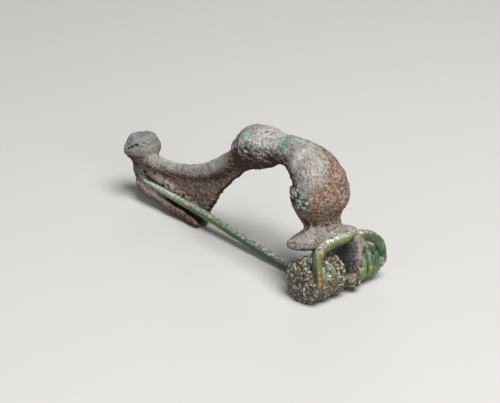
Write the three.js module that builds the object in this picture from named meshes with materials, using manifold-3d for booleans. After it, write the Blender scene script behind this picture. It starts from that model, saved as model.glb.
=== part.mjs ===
// A Roman bow brooch, dug up whole: a cast bow with its catchplate, and one length of wire that is
// both spring and pin. It rests on the underside of the spring and on the back corner of the catch.
// Millimetres. X runs along the brooch with the head at +X, Y across it with the pin at -Y, Z up.
// The origin is on the resting plane, below the middle of the brooch.
import * as THREE from 'three';
import { mergeVertices } from 'three/addons/utils/BufferGeometryUtils.js';
import Module from 'manifold-3d';

const wasm = await Module();
wasm.setup();

// Spring: two groups of turns on one axis, mirrored about Y = 0.
const WIRE_R = 0.57;
const TURN_R = 2.15;
const AXIS_X = 18.35;
const AXIS_Z = 2.68;
const PITCH = 1.2;
const TURNS = 3.25;
const INNER_Y = 1.63;
const OUTER_Y = INNER_Y + PITCH * TURNS;
const FRONT_X = AXIS_X + TURN_R;
const STEPS_PER_TURN = 14;
const WIRE_RINGS = 190;
const WIRE_SIDES = 8;

// Crust inside a group, [radius, distance from the middle], and the end that swells out of it.
const CRUST_CORE = [[1.9, 1.25], [2.2, OUTER_Y - 1.1]];
const CRUST_ENDS = {
  near: { side: -1, radius: 2.75, dome: 1.0 },
  far: { side: 1, radius: 2.55, dome: 0.5 },
};
// The curve of that end, in shares of its radius and of its dome.
const CRUST_END_CURVE = [[1, 0.5], [1, 0.8], [0.6, 1], [0, 1]];

// Head and bow: [x, z, half the height in the XZ plane, half the width in Y] along each bar.
const HEAD = [
  [15.65, 6.1, 2.4, 2.5],
  [15.35, 7.4, 2.35, 2.4],
  [15.0, 8.7, 2.75, 2.75],
  [14.9, 10.3, 3.4, 3.45],
  [15.0, 11.8, 3.6, 3.65],
  [14.9, 13.1, 3.4, 3.45],
  [14.6, 14.3, 2.6, 2.7],
  [14.3, 15.2, 1.5, 1.7],
];
const BOW = [
  [15.6, 12.4, 2.5, 2.6],
  [14.4, 13.8, 2.6, 2.7],
  [13.2, 14.75, 2.45, 2.6],
  [11.4, 15.4, 2.15, 2.25],
  [9.2, 15.5, 1.9, 2.0],
  [7.4, 15.35, 2.15, 2.25],
  [6.0, 15.05, 2.65, 2.75],
  [4.3, 14.6, 2.85, 2.95],
  [2.6, 13.85, 2.75, 2.85],
  [1.3, 13.0, 2.2, 2.35],
  [0.5, 12.45, 1.5, 1.6],
];

// Foot: the rounded ridge on top of the catchplate, in the same form.
const FOOT = [
  [1.0, 12.6, 1.5, 1.5],
  [-1.0, 11.2, 1.5, 1.55],
  [-3.2, 9.8, 1.4, 1.45],
  [-5.4, 8.6, 1.2, 1.3],
  [-7.8, 7.65, 1.05, 1.15],
  [-10.3, 6.95, 1.0, 1.0],
  [-12.9, 6.45, 0.95, 1.0],
  [-15.4, 6.1, 1.0, 1.1],
  [-17.6, 5.8, 1.2, 1.3],
  [-19.6, 5.7, 1.5, 1.5],
];

// Foot knob: a worn bulb that leans back from the end of the foot.
const KNOB_BASE = [-20.1, 4.6];
const KNOB_LEAN = 0.16;
const KNOB_PROFILE = [
  [1.5, 0], [1.5, 0.6], [2.0, 1.5], [2.45, 2.5], [2.5, 3.3], [2.35, 4.2], [1.8, 4.9],
];
const KNOB_HEIGHT = 5.1;

// Support plate: an oval bell under the neck that presses on the top of the spring.
const PLATE = { x: 15.8, underZ: 5.72, halfX: 2.6, halfY: 5.6, roll: 0.07 };
// Its profile, [share of the half width, height]: the hollow underside with the rim, then the flare.
const PLATE_UNDERSIDE = [[0, 0.25], [0.55, 0.2], [0.95, 0], [1, 0.2]];
const PLATE_FLARE = [[1, 0.65], [0.75, 0.9], [0.5, 1.15], [0.41, 2.2]];

// Lug between the two groups of turns, and the hook that holds the chord: [x, z, thickness, width].
const LUG = { halfY: 0.92, back: 16.5, front: 19.75, foot: 1.0, top: 6.2, round: 0.7 };
const HOOK = [
  [18.6, 3.6, 0.7, 0.9],
  [20.2, 3.7, 0.72, 0.9],
  [21.3, 4.5, 0.7, 0.95],
  [21.62, 5.8, 0.62, 1.0],
  [21.65, 7.0, 0.42, 0.95],
  [21.5, 7.75, 0.26, 0.85],
  [21.25, 8.15, 0.16, 0.7],
];

// Catchplate in the XZ plane, and the gutter that its lower edge is folded into.
const CATCH_HALF_Y = 0.5;
const CATCH_BACK = [[1.6, 11.0], [-0.8, 8.6], [-2.6, 7.0], [-4.3, 4.95], [-6.0, 2.4], [-7.2, 0]];
const CATCH_FLAT_END = [-8.7, 0];
const CATCH_FRONT = [[-20.4, 1.5], [-21.4, 2.2], [-21.8, 3.4], [-21.4, 4.6], [-20.2, 5.6]];
const EDGE_X = [-7.2, -8.7, -12.5, -16.5, -20.4];
const EDGE_CURVE = 0.85;
const GUTTER_FLOOR = 0.65;
const LIP = { outerY: -2.05, thick: 0.6, aboveEdge: 0.12, beyondFloor: 0.2 };
const LIP_TOP = [
  [-20.0, 3.2], [-18.6, 2.4], [-16.5, 1.95], [-12.2, 1.95], [-9.8, 1.8], [-7.9, 1.4], [-6.9, 0.9],
];
const BEVEL = 0.15;
// The lump that closes the gutter at the foot end: centre and half sizes.
const STOP = { x: -20.2, y: -1.0, z: 2.9, halfX: 1.2, halfY: 0.95, halfZ: 1.7 };

// Pin: from under the spring to its point in the gutter, [x, y, z, radius].
const PIN = [
  [10.6, -1.6, 0.75, 0.58],
  [3.0, -1.5, 1.45, 0.58],
  [-5.0, -1.35, 2.3, 0.56],
  [-12.0, -1.28, 2.8, 0.5],
  [-16.2, -1.28, 3.1, 0.42],
  [-19.0, -1.35, 3.35, 0.18],
];

const PATINA = new THREE.MeshStandardMaterial({ color: 0x857a6b, roughness: 0.85, metalness: 0.1 });
const GREEN_WIRE = new THREE.MeshStandardMaterial({ color: 0x4f6a43, roughness: 0.55, metalness: 0.35 });

// Turns any closed three.js geometry into a solid that can be joined and cut.
function solid(geometry) {
  const bare = geometry.clone();
  bare.deleteAttribute('normal');
  bare.deleteAttribute('uv');
  const merged = mergeVertices(bare, 1e-4);
  return new wasm.Manifold(new wasm.Mesh({
    numProp: 3,
    vertProperties: new Float32Array(merged.attributes.position.array),
    triVerts: new Uint32Array(merged.index.array),
  }));
}

function join(solids) {
  return solids.reduce((whole, next) => whole.add(next));
}

function mesh(name, body, material) {
  const { vertProperties, triVerts } = body.getMesh();
  const geometry = new THREE.BufferGeometry();
  geometry.setAttribute('position', new THREE.BufferAttribute(vertProperties, 3));
  geometry.setIndex(new THREE.BufferAttribute(triVerts, 1));
  geometry.computeVertexNormals();
  const made = new THREE.Mesh(geometry, material);
  made.name = name;
  return made;
}

// A bar along a path. at(t) gives the centre, the two half-axes of its section and their lengths.
function bar(at, rings, sides) {
  const geometry = new THREE.CylinderGeometry(1, 1, 1, sides, rings);
  const place = geometry.attributes.position;
  for (let i = 0; i < place.count; i += 1) {
    const ring = at(0.5 + place.getY(i));
    const point = ring.centre.clone();
    point.addScaledVector(ring.sideways, place.getX(i) * ring.width);
    point.addScaledVector(ring.upward, place.getZ(i) * ring.height);
    place.setXYZ(i, point.x, point.y, point.z);
  }
  return geometry;
}

// A bar whose centre line lies in the XZ plane, from a list of stations.
function flatBar(stations, rings, sides) {
  const line = new THREE.CatmullRomCurve3(stations.map(([x, z]) => new THREE.Vector3(x, 0, z)));
  const size = new THREE.CatmullRomCurve3(stations.map(([, , h, w]) => new THREE.Vector3(h, w, 0)));
  const across = new THREE.Vector3(0, 1, 0);
  return solid(bar((t) => {
    const { x: height, y: width } = size.getPoint(t);
    const upward = new THREE.Vector3().crossVectors(across, line.getTangent(t));
    return { centre: line.getPoint(t), sideways: across, upward, width, height };
  }, rings, sides));
}

// A round bar along any path, with rings at equal steps and a radius for each.
function roundBar(curve, radiusAt, rings, sides) {
  const frames = curve.computeFrenetFrames(rings);
  return solid(bar((t) => {
    const i = Math.round(t * rings);
    const radius = radiusAt(i / rings);
    return {
      centre: curve.getPointAt(i / rings),
      sideways: frames.binormals[i],
      upward: frames.normals[i],
      width: radius,
      height: radius,
    };
  }, rings, sides));
}

// A plate: an outline in the XZ plane, thickened from one Y to another.
function plate(shape, fromY, toY, bevel = 0) {
  const depth = toY - fromY - 2 * bevel;
  const geometry = new THREE.ExtrudeGeometry(shape, {
    depth,
    bevelEnabled: bevel > 0,
    bevelThickness: bevel,
    bevelSize: bevel,
    bevelOffset: -bevel,
    bevelSegments: 2,
    curveSegments: 6,
  });
  geometry.rotateX(Math.PI / 2);
  geometry.translate(0, toY - bevel, 0);
  return solid(geometry);
}

function outline(points) {
  return new THREE.Shape(points.map(([x, z]) => new THREE.Vector2(x, z)));
}

function vectors(points) {
  return points.map(([x, y]) => new THREE.Vector2(x, y));
}

function makeFootKnob() {
  const sideLine = new THREE.SplineCurve(vectors(KNOB_PROFILE)).getPoints(12);
  const profile = [...vectors([[0, 0]]), ...sideLine, ...vectors([[0, KNOB_HEIGHT]])];
  const knob = new THREE.LatheGeometry(profile, 20);
  knob.rotateX(Math.PI / 2);
  knob.rotateY(-KNOB_LEAN);
  knob.translate(KNOB_BASE[0], 0, KNOB_BASE[1]);
  return solid(knob);
}

function makeSupportPlate() {
  const flare = new THREE.CubicBezierCurve(...vectors(PLATE_FLARE)).getPoints(5);
  const top = PLATE_FLARE.at(-1)[1];
  const profile = [...vectors(PLATE_UNDERSIDE), ...flare, ...vectors([[0, top]])];
  const bell = new THREE.LatheGeometry(profile, 32);
  bell.rotateX(Math.PI / 2);
  bell.scale(PLATE.halfX, PLATE.halfY, 1);
  bell.rotateX(-PLATE.roll);
  bell.translate(PLATE.x, 0, PLATE.underZ);
  return solid(bell);
}

function makeLug() {
  const { back, front, foot, top, round } = LUG;
  const shape = outline([
    [back, top], [back, foot + round], [back + round, foot],
    [front - round, foot], [front, foot + round], [front, top],
  ]);
  return plate(shape, -LUG.halfY, LUG.halfY, BEVEL);
}

// The lower edge of the catch, this far above the resting plane: level at the back, rising to the front.
function lowerEdge(x) {
  const [[frontX, frontZ]] = CATCH_FRONT;
  const [flatX] = CATCH_FLAT_END;
  return x > flatX ? 0 : frontZ * ((flatX - x) / (flatX - frontX)) ** EDGE_CURVE;
}

function edgeLine(above) {
  return EDGE_X.map((x) => [x, lowerEdge(x) + above]);
}

function makeCatch() {
  const ridge = FOOT.map(([x, z]) => [x, z]);
  const sheetOutline = outline([...CATCH_BACK, CATCH_FLAT_END, ...CATCH_FRONT, ...ridge.toReversed()]);
  const floorOutline = outline([...edgeLine(0), ...edgeLine(GUTTER_FLOOR).toReversed()]);
  const lipOutline = outline([...edgeLine(LIP.aboveEdge), ...LIP_TOP]);
  const lump = new THREE.SphereGeometry(1, 14, 10);
  lump.scale(STOP.halfX, STOP.halfY, STOP.halfZ);
  lump.translate(STOP.x, STOP.y, STOP.z);
  return join([
    plate(sheetOutline, -CATCH_HALF_Y, CATCH_HALF_Y),
    plate(floorOutline, LIP.outerY + LIP.beyondFloor, CATCH_HALF_Y),
    plate(lipOutline, LIP.outerY, LIP.outerY + LIP.thick, BEVEL),
    solid(lump),
  ]);
}

function makeBow() {
  return join([
    flatBar(HEAD, 16, 22),
    flatBar(BOW, 28, 20),
    flatBar(FOOT, 18, 14),
    makeFootKnob(),
    makeSupportPlate(),
    makeLug(),
    flatBar(HOOK, 14, 12),
    makeCatch(),
  ]);
}

// One group of turns, from the bottom of its inner turn to the front of its outer turn.
function groupPoints(side) {
  const steps = Math.round(TURNS * STEPS_PER_TURN);
  return Array.from({ length: steps + 1 }, (_, i) => {
    const turn = (TURNS * i) / steps;
    const angle = 2 * Math.PI * turn - Math.PI / 2;
    return new THREE.Vector3(
      AXIS_X + TURN_R * Math.cos(angle),
      side * (INNER_Y + PITCH * turn),
      AXIS_Z + TURN_R * Math.sin(angle),
    );
  });
}

// The chord: up from the outer turn on the near side, over the front and down to the far one.
const CHORD = [
  [20.4, -5.65, 4.6], [20.15, -5.45, 6.2], [20.05, -4.5, 7.15], [20.2, -2.6, 7.6],
  [20.5, -0.3, 7.7], [20.75, 1.6, 7.45], [21.0, 3.0, 6.85], [21.05, 4.25, 5.7], [20.7, 5.15, 4.2],
];
// The worn end of the wire, below the hook.
const WIRE_END = [[FRONT_X + 0.1, 1.35, 2.2], [FRONT_X + 0.3, 0.45, 2.1]];

function makeWire() {
  const place = ([x, y, z]) => new THREE.Vector3(x, y, z);
  const quarter = Math.round(STEPS_PER_TURN / 4);
  const curve = new THREE.CatmullRomCurve3([
    ...PIN.map(place).toReversed(),
    ...groupPoints(-1),
    ...CHORD.map(place),
    ...groupPoints(1).toReversed().slice(0, -quarter),
    ...WIRE_END.map(place),
  ], false, 'centripetal');
  curve.arcLengthDivisions = 4000;
  const pinLength = place(PIN[0]).distanceTo(place(PIN.at(-1)));
  const length = curve.getLength();
  const radii = PIN.map(([x, , , radius]) => new THREE.Vector3(x, radius, 0));
  const taper = new THREE.CatmullRomCurve3(radii);
  const radiusAt = (share) => {
    const along = (share * length) / pinLength;
    return along >= 1 ? WIRE_R : taper.getPoint(1 - along).y;
  };
  return roundBar(curve, radiusAt, WIRE_RINGS, WIRE_SIDES);
}

// Hard crust of corrosion and soil that fills a group and swells out of its open end.
function makeCrust({ side, radius, dome }) {
  const end = CRUST_END_CURVE.map(([r, h]) => [radius * r, OUTER_Y + dome * h]);
  const points = [
    ...vectors([[0, CRUST_CORE[0][1]], ...CRUST_CORE, [radius, OUTER_Y - 0.4]]),
    ...new THREE.CubicBezierCurve(...vectors(end)).getPoints(5),
  ];
  points.at(-1).x = 0;
  const crust = new THREE.LatheGeometry(points, 20);
  if (side < 0) {
    crust.rotateX(Math.PI);
  }
  crust.translate(AXIS_X, 0, AXIS_Z);
  return solid(crust);
}

// Everything below the resting plane is worn off flat.
function restOnPlane(body) {
  const under = new THREE.BoxGeometry(80, 40, 4);
  under.translate(0, 0, -2);
  return body.subtract(solid(under));
}

const bow = restOnPlane(makeBow());
const wire = restOnPlane(join([makeWire(), makeCrust(CRUST_ENDS.near), makeCrust(CRUST_ENDS.far)]));
const brooch = new THREE.Group();
brooch.add(mesh('bow', bow, PATINA));
brooch.add(mesh('spring_and_pin', wire, GREEN_WIRE));

// The stations are measured from the middle plane of the bow; the origin goes to the middle of the box.
const middle = new THREE.Box3().setFromObject(brooch).getCenter(new THREE.Vector3());
brooch.position.set(-middle.x, -middle.y, 0);

export default brooch;
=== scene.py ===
# %% [markdown]
# # A Roman bow brooch, dug up whole
#
# The brooch is two physical pieces: a bow cast in bronze, and one length of bronze wire that is spring
# and pin at once. Both lay in the ground for some eighteen centuries, so what shows is not metal but
# what the ground made of it: grey-brown patina, pits, hard crust, and green where copper came through.
# This lesson builds both pieces as volumes, turns the volumes into meshes, and paints them by place.

import math

import bpy
import numpy as np
import openvdb
from mathutils import Matrix, Vector


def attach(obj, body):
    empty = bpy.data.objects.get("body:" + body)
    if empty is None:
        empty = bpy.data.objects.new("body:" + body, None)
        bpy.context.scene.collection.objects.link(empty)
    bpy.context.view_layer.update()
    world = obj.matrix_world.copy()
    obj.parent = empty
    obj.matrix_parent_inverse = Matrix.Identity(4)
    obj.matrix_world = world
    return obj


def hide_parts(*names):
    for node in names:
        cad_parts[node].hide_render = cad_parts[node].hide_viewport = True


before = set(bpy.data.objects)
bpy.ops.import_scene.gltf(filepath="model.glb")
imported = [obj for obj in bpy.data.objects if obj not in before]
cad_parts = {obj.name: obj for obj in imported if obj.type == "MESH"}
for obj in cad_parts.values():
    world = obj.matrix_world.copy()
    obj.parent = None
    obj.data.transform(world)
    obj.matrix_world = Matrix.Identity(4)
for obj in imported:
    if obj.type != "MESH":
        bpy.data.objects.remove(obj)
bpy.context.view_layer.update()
MM = 0.001
# The stations below are measured from the bow's middle plane; the frame's origin lies beside it.
MIDDLE = np.array([0.4475, 0.2446, 0.0], dtype=np.float32)

# %% [markdown]
# ## Where the photographer stood
#
# The camera is worked out from the spring, whose turns are true circles: seen from the side they look
# like narrow ovals, and how narrow they are gives the angle. It could be set by eye, but then the
# render can't be laid over the photograph. It is a close view with a long lens.

# %% The camera
CAMERA_MM = (126.54, -107.98, 78.6)
AZIMUTH, ELEVATION, ROLL = (math.radians(a) for a in (48.9, 23.69, -1.09))
LENS_MM = 99.6
SENSOR_MM = 36.0


def look(azimuth, elevation, roll):
    level = Vector((math.cos(azimuth), math.sin(azimuth), 0))
    back = Vector((
        math.sin(azimuth) * math.cos(elevation),
        -math.cos(azimuth) * math.cos(elevation),
        math.sin(elevation),
    ))
    upright = back.cross(level)
    right = level * math.cos(roll) + upright * math.sin(roll)
    up = back.cross(right)
    return Matrix((right, up, back)).transposed().to_4x4()


camera_data = bpy.data.cameras.new("camera")
camera_data.lens = LENS_MM
camera_data.sensor_width = SENSOR_MM
camera_data.clip_start = 0.01
camera = bpy.data.objects.new("camera", camera_data)
camera.matrix_world = Matrix.Translation(Vector(CAMERA_MM) * MM) @ look(AZIMUTH, ELEVATION, ROLL)
bpy.context.collection.objects.link(camera)
bpy.context.scene.camera = camera
print("camera stands", round(Vector(CAMERA_MM).length), "mm from the brooch")

# %% [markdown]
# ## Solids as fields of numbers
#
# A corroded casting has no sharp joints: every corner is filled or worn. So the shapes are not meshes
# at first but fields. A field gives each point of a fine grid its distance to the surface, less than
# nothing inside. Two fields join with the smaller of their values, and a soft join leaves a fillet.

# %% Grids and joins
def grid(low, high, step):
    return [np.arange(a, b + step, step, dtype=np.float32) for a, b in zip(low, high)]


def spread(axes):
    x, y, z = axes
    return x[:, None, None], y[None, :, None], z[None, None, :]


def join(a, b, fillet):
    near = np.clip(fillet - np.abs(a - b), 0, None) / fillet
    return np.minimum(a, b) - fillet * near * near / 4


def cut(a, b, fillet):
    return -join(-a, -b, fillet)


def curve_through(rows, steps=30):
    p = np.array(rows, dtype=np.float32)
    p = np.vstack([2 * p[0] - p[1], p, 2 * p[-1] - p[-2]])
    t = np.linspace(0, 1, steps, endpoint=False, dtype=np.float32)[:, None]
    spans = [
        b + 0.5 * t * (c - a + t * (2 * a - 5 * b + 4 * c - d + t * (3 * b - a - 3 * c + d)))
        for a, b, c, d in zip(p, p[1:], p[2:], p[3:])
    ]
    return np.vstack(spans + [p[-2:-1]])


def ramp(value, start, end):
    share = np.clip((value - start) / (end - start), 0, 1)
    return share * share * (3 - 2 * share)


print("a 2 mm fillet adds", round(float(-join(0.0, 0.0, 2.0)), 2), "mm where two surfaces meet")

# %% [markdown]
# ## Noise with a size in millimetres
#
# Corrosion works at several sizes at once: dents of a millimetre or two, grains of half a millimetre,
# pits between them. Smooth noise at two sizes gives the dents, and the lattice is turned between the
# two so that no rows show. For grains, each cell of the lattice gets one random point, and the distance
# to the nearest of them makes small round lumps that touch. Pits use the same points, each with its own
# radius. A single mark, such as one pit or patch, is a ball with a ragged rim.

# %% Noise
LATTICE = np.random.default_rng(11).random((64, 64, 64, 3), dtype=np.float32)
TURN = np.array([[0.36, 0.48, -0.8], [-0.8, 0.6, 0.0], [0.48, 0.64, 0.6]], dtype=np.float32)


def one_noise(place, channel):
    cell = np.floor(place).astype(np.int32)
    share = place - cell
    share = share * share * (3 - 2 * share)
    total = np.zeros(len(place), dtype=np.float32)
    for corner in np.ndindex(2, 2, 2):
        weight = np.prod(np.where(corner, share, 1 - share), axis=1)
        i, j, k = ((cell + corner) & 63).T
        total += weight * LATTICE[i, j, k, channel]
    return 2 * total - 1


def noise(points, size, seed=0):
    place = (points + 7.3 * seed) @ TURN / size
    return 0.75 * one_noise(place, seed % 3) + 0.5 * one_noise(1.9 * place @ TURN, (seed + 1) % 3)


def nearby_points(place):
    cell = np.floor(place - 0.5).astype(np.int32)
    for corner in np.ndindex(2, 2, 2):
        i, j, k = ((cell + corner) & 63).T
        gap = cell + corner + 0.2 + 0.6 * LATTICE[i, j, k] - place
        yield np.einsum("ij,ij->i", gap, gap), LATTICE[j, k, i, 0]


def grains(points, size, seed=0):
    nearest = np.full(len(points), 9, dtype=np.float32)
    for squared, _ in nearby_points((points + 5.1 * seed) / size):
        nearest = np.minimum(nearest, squared)
    return 1 - 2 * np.sqrt(nearest)


def pits(points, size, seed=0):
    depth = np.zeros(len(points), dtype=np.float32)
    for squared, chance in nearby_points(points / size + 3.7 * seed):
        radius = 0.12 + 0.38 * chance
        depth = np.maximum(depth, ramp(np.sqrt(squared) / radius, 1.1, 0.3) * radius)
    return 2 * depth


def blob(points, centre, radius, ragged=0.35, seed=0):
    away = np.linalg.norm(points - np.array(centre, dtype=np.float32), axis=1) / radius
    near = away < 2.2
    share = np.zeros(len(points), dtype=np.float32)
    share[near] = ramp(away[near] + ragged * noise(points[near], 0.45 * radius, seed), 1.25, 0.6)
    return share


def patches(points, spots, ragged=0.5):
    most = np.zeros(len(points), dtype=np.float32)
    for seed, (centre, radius) in enumerate(spots):
        most = np.maximum(most, blob(points, centre, radius, ragged, seed))
    return most


test_line = np.stack([np.linspace(0, 20, 400)] * 3, axis=1).astype(np.float32)
print("noise runs from", noise(test_line, 1).min().round(2), "to", noise(test_line, 1).max().round(2))

# %% [markdown]
# ## The bars of the bow
#
# Head, bow and foot were cast in one piece with a round section that swells and narrows. Each is a bar
# along a line in the brooch's middle plane: at every station it has a half height and a half width.
# A lathe could make the head, but not the bend that joins it to the bow.

# %% Bars in the middle plane
HEAD = [
    (15.8, 6.1, 2.4, 2.5), (15.5, 7.4, 2.15, 2.25), (15.15, 8.7, 2.55, 2.6), (14.95, 10.3, 3.3, 3.35),
    (15.05, 11.8, 3.5, 3.55), (15.0, 13.1, 3.0, 3.1), (14.5, 14.0, 2.4, 2.5),
]
BOW = [
    (15.0, 12.8, 2.2, 2.5), (14.4, 13.8, 2.5, 2.65), (13.2, 14.75, 2.4, 2.55), (11.4, 15.5, 2.2, 2.2),
    (9.2, 15.6, 1.9, 1.95), (7.4, 15.35, 2.1, 2.2), (6.0, 15.05, 2.6, 2.7), (4.3, 14.6, 2.85, 2.95),
    (3.0, 14.05, 2.75, 2.85), (2.25, 13.6, 2.4, 2.5),
]
FOOT = [
    (2.4, 13.7, 1.6, 1.6), (1.0, 12.6, 1.45, 1.5), (-1.0, 11.2, 1.4, 1.45), (-3.2, 9.8, 1.35, 1.4),
    (-5.4, 8.6, 1.2, 1.25), (-7.8, 7.65, 1.05, 1.1), (-10.3, 6.95, 0.95, 0.95), (-12.9, 6.45, 0.9, 0.95),
    (-15.4, 6.1, 0.95, 1.05), (-17.6, 5.8, 1.15, 1.25), (-19.4, 5.7, 1.4, 1.45),
]


def flat_bar(axes, stations, middle_y=0.0):
    x, y, z = axes
    nearest = np.full((len(x), len(z)), np.inf, dtype=np.float32)
    height = np.ones_like(nearest)
    width = np.ones_like(nearest)
    for sx, sz, half_height, half_width in curve_through(stations):
        away = np.hypot(x[:, None] - sx, z[None, :] - sz)
        closer = away < nearest
        nearest[closer] = away[closer]
        height[closer] = half_height
        width[closer] = half_width
    across = (y[None, :, None] - middle_y) / width[:, None, :]
    ratio = np.sqrt((nearest / height)[:, None, :] ** 2 + across ** 2)
    return (ratio - 1) * np.minimum(height, width)[:, None, :]


print("widest place of the head:", 2 * max(row[3] for row in HEAD), "mm")

# %% [markdown]
# ## Foot knob
#
# The foot ends in a knob that stands up like a worn bulb. Its top is worn down to two low bumps with a
# dip between them. A bar along its leaning axis gives the bulb, a soft cut makes the top, and a ball
# taken away makes the dip. A lathe would make it too round.

# %% Foot knob
KNOB_BASE = (-20.15, 4.6)
KNOB_LEAN = 0.16
KNOB_TOP = 5.2
KNOB_RADII = [(0.0, 1.45), (0.6, 1.5), (1.5, 1.95), (2.4, 2.4), (3.1, 2.5), (3.7, 2.3)]
KNOB_DIP = {"centre": (-20.95, -1.0, 10.5), "radius": 1.1}


def ball(axes, centre, radius):
    return np.sqrt(sum((a - c) ** 2 for a, c in zip(spread(axes), centre))) - radius


def foot_knob(axes):
    x, y, z = spread(axes)
    base_x, base_z = KNOB_BASE
    lean, rise = math.sin(KNOB_LEAN), math.cos(KNOB_LEAN)
    stations = [(base_x - h * lean, base_z + h * rise, r, r) for h, r in KNOB_RADII]
    along = (base_x - x) * lean + (z - base_z) * rise
    bulb = cut(flat_bar(axes, stations), along - KNOB_TOP, 1.6)
    return cut(bulb, -ball(axes, KNOB_DIP["centre"], KNOB_DIP["radius"]), 0.5)


print("the knob stands", KNOB_TOP, "mm tall on its neck")

# %% [markdown]
# ## Support plate
#
# Under the neck the casting flares into an oval plate that presses on the spring. It is thick at its
# rim, hollow below, and one wing hangs lower than the other. Its upper side is worked out from how far
# a point lies from the middle, as a share of the oval, with a shallow groove just inside the rim. A
# squashed cylinder would have neither the flare to the neck nor the hanging wing.

# %% Support plate
PLATE = {"x": 15.8, "y": -0.14, "z": 5.7, "half_x": 2.65, "half_y": 5.84, "roll": 0.075, "droop": 0.35}
PLATE_UNDER = [(0, 0.2), (0.55, 0.15), (0.93, 0.0), (1, 0.12)]
PLATE_OVER = [
    (0.4, 2.9), (0.43, 2.1), (0.48, 1.65), (0.58, 1.2), (0.72, 0.95), (0.79, 0.78), (0.84, 0.68),
    (0.89, 0.74), (1, 0.48),
]


def support_plate(axes):
    x, y, z = spread(axes)
    turn, keep = math.sin(PLATE["roll"]), math.cos(PLATE["roll"])
    over_y = keep * (y - PLATE["y"]) - turn * (z - PLATE["z"])
    over_z = turn * y + keep * (z - PLATE["z"])
    share = np.sqrt(((x - PLATE["x"]) / PLATE["half_x"]) ** 2 + (over_y / PLATE["half_y"]) ** 2)
    wing = np.clip(over_y / PLATE["half_y"], 0, 1) ** 2
    under = np.interp(share, *zip(*PLATE_UNDER)).astype(np.float32)
    over = np.interp(share, *zip(*PLATE_OVER)).astype(np.float32) - PLATE["droop"] * wing
    slab = cut(under - over_z, over_z - over, 0.25)
    return cut(slab * 0.8, (share - 1) * PLATE["half_x"], 0.3)


print("the plate is", 2 * PLATE["half_y"], "by", 2 * PLATE["half_x"], "mm")

# %% [markdown]
# ## Lug and hook
#
# A short lug stands between the two groups of turns. Its front rises as a broad hook that holds the
# chord from outside, and below the chord lug and hook are one lump. So the hook is a bar with a wide
# section, and the lug behind it is a block with rounded edges. Two extruded outlines would meet in a
# sharp line that the casting doesn't have.

# %% Lug and hook
LUG = {"low": (16.5, -0.92, 1.0), "high": (19.75, 0.92, 6.4), "round": 0.5}
HOOK = [
    (18.9, 3.9, 1.3, 0.95), (20.0, 4.2, 1.3, 1.05), (20.75, 5.0, 1.35, 1.1), (20.95, 5.7, 1.2, 1.1),
    (21.3, 6.4, 0.8, 1.1), (21.5, 7.1, 0.5, 1.05), (21.5, 7.55, 0.32, 0.9), (21.35, 7.85, 0.2, 0.65),
]


def block(axes, low, high, rounding):
    gaps = [
        np.abs(a - (p + q) / 2) - (q - p) / 2 + rounding
        for a, p, q in zip(spread(axes), low, high)
    ]
    outside = np.sqrt(sum(np.clip(g, 0, None) ** 2 for g in gaps))
    inside = np.minimum(np.maximum(np.maximum(gaps[0], gaps[1]), gaps[2]), 0)
    return outside + inside - rounding


print("the hook rises to", HOOK[-1][1] + HOOK[-1][2], "mm")

# %% [markdown]
# ## Catch plate and gutter
#
# At the foot the casting thins to a flat plate whose lower edge is folded into a gutter for the pin.
# The plate is an outline with a thickness. The gutter is a bent strip with rounded corners, and its lip
# has a wavy, eaten edge. A sheet bent over and given a thickness would keep all its corners even, and
# these are worn. Hard soil has set in the corner between plate and pin and in the front of the gutter,
# where it closes the end as a lump.

# %% Catch plate and gutter
CATCH_HALF_Y = 0.5
CATCH_OUTLINE = [
    (3.6, 12.2), (1.2, 10.4), (-0.95, 8.55), (-2.8, 6.95), (-4.55, 4.95), (-6.3, 2.4), (-7.4, 0),
    (-8.7, 0), (-20.3, 1.5), (-21.1, 2.3), (-21.75, 3.2), (-22.0, 4.2), (-22.1, 5.2), (-21.5, 6.4),
    (-19.6, 5.7), (-17.6, 5.8), (-12.9, 6.45), (-7.8, 7.65), (-3.2, 9.8),
]
EDGE = {"flat_x": -8.7, "front_x": -20.4, "front_z": 1.5, "curve": 0.85}
LIP_TOP = [
    (-20.0, 3.0), (-18.8, 2.65), (-17.6, 2.3), (-16.2, 2.2), (-14.8, 2.0), (-13.4, 1.98), (-12.0, 1.78),
    (-10.6, 1.72), (-9.2, 1.5), (-8.0, 1.35), (-6.9, 0.95),
]
GUTTER_ENDS = (-20.15, -6.8)
GUTTER = {"middle_y": -0.775, "half": 0.975, "wall": 0.3, "round": 0.5}
STOP = {"centre": (-19.95, -0.85, 3.1), "half": (1.15, 0.9, 1.5)}
SOIL_RIDGE = [
    (-21.0, 4.4, 0.7, 0.5), (-19.0, 4.6, 0.6, 0.45), (-17.8, 4.45, 0.6, 0.5), (-16.2, 4.25, 0.65, 0.5),
    (-14.6, 4.0, 0.6, 0.48), (-13.0, 3.7, 0.5, 0.42), (-11.4, 3.4, 0.4, 0.36), (-9.8, 3.1, 0.3, 0.28),
    (-8.4, 2.8, 0.2, 0.2),
]
SOIL_RIDGE_Y = -0.7
SOIL_FILL = [
    (-19.2, 2.55, 0.9, 0.7), (-18.3, 2.45, 0.95, 0.75), (-17.2, 2.2, 0.95, 0.75), (-16.1, 1.9, 0.85, 0.7),
    (-15.0, 1.4, 0.5, 0.5),
]
SOIL_FILL_Y = -1.0


def polygon(x, z, corners):
    best = np.full(np.broadcast(x, z).shape, np.inf, dtype=np.float32)
    inside = np.zeros(best.shape, dtype=bool)
    for (x0, z0), (x1, z1) in zip(corners, corners[1:] + corners[:1]):
        run, rise = x1 - x0, z1 - z0
        share = np.clip(((x - x0) * run + (z - z0) * rise) / (run * run + rise * rise), 0, 1)
        best = np.minimum(best, np.hypot(x - x0 - share * run, z - z0 - share * rise))
        if rise:
            inside ^= ((z0 > z) != (z1 > z)) & (x < run * (z - z0) / rise + x0)
    return np.where(inside, -best, best)


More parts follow.
